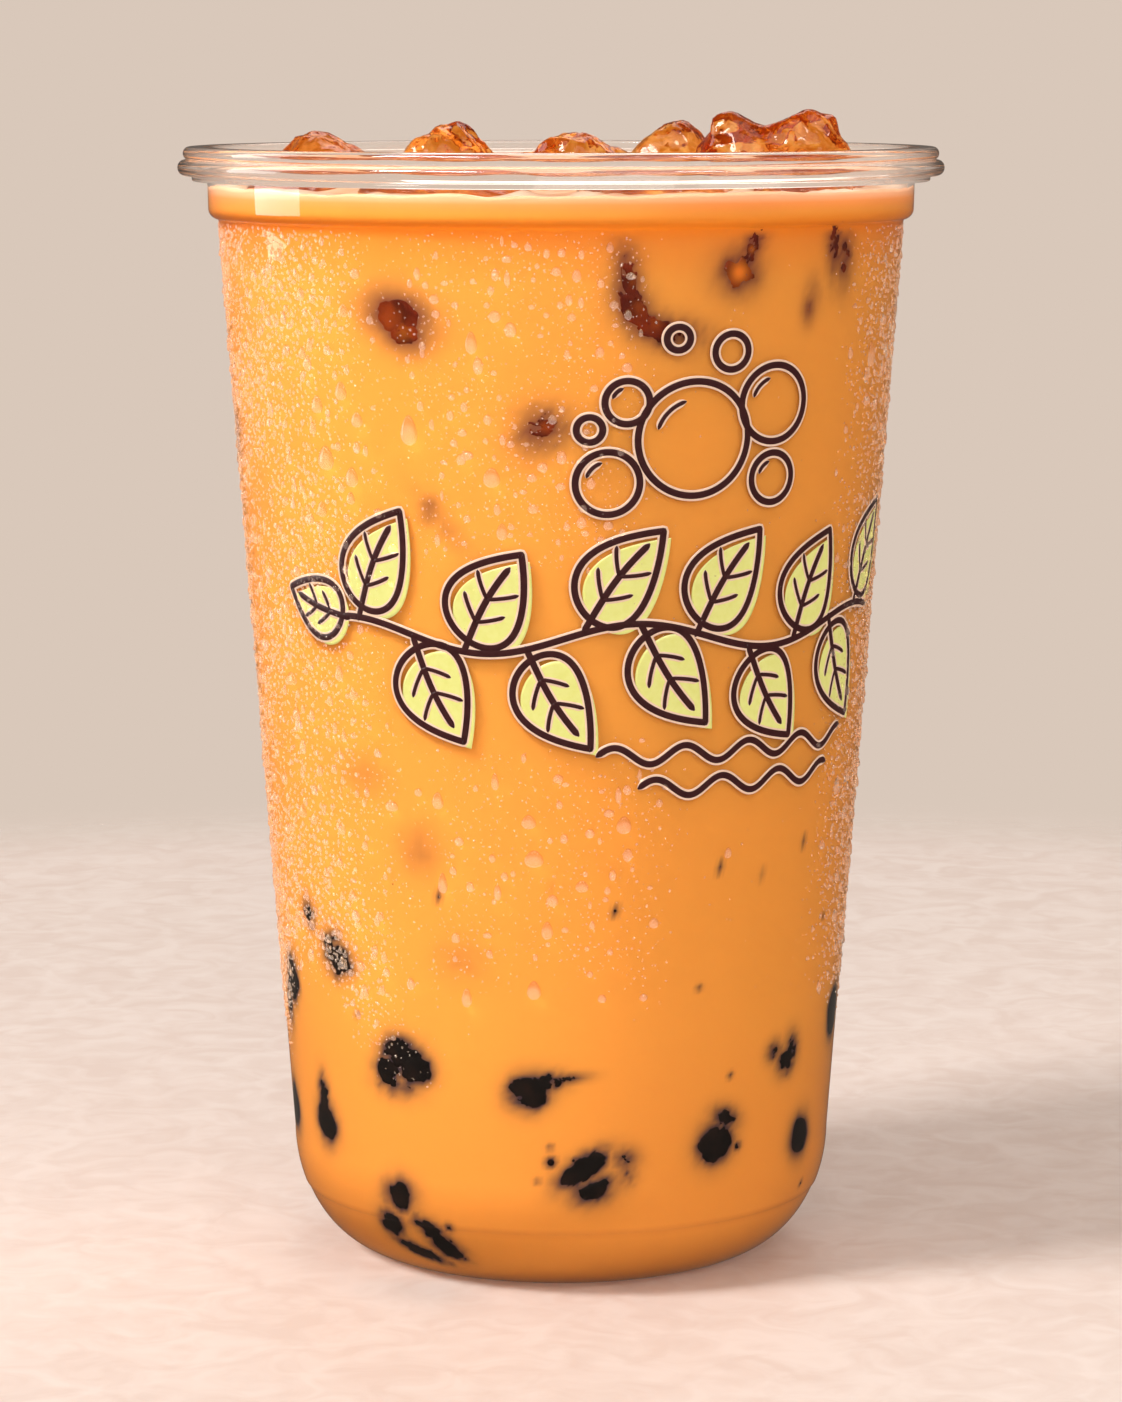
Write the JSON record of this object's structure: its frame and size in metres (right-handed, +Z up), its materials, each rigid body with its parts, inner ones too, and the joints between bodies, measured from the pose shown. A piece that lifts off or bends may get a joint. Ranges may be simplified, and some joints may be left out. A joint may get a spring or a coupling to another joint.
{
  "type": "bubble tea",
  "caption": "Iced milk tea with tapioca pearls and lumps of ice, filling a clear moulded plastic takeaway cup with a rolled rim and a rounded foot.",
  "frame": {"origin": "centre of the foot ring, on the surface the cup stands on", "axes": "+Z up along the cup's axis, the printed front faces -Y, +X to the right as seen from the front"},
  "size_m": [0.09, 0.09, 0.1358],
  "materials": {
    "clear_cup": "clear gloss moulded plastic",
    "milk_tea": "opaque milky liquid, wet gloss",
    "ice": "wet clear ice stained by tea",
    "tapioca": "boiled glossy starch, near black",
    "water": "condensed water, clear",
    "print_lime": "opaque printed ink",
    "print_maroon": "opaque printed ink"
  },
  "bodies": {
    "root": {"cup": "clear_cup", "drink": "milk_tea", "ice_1": "ice", "ice_2": "ice", "ice_3": "ice", "ice_4": "ice", "ice_5": "ice", "ice_6": "ice", "ice_7": "ice", "ice_8": "ice", "ice_9": "ice", "ice_10": "ice", "ice_11": "ice"}
  },
  "joints": []
}
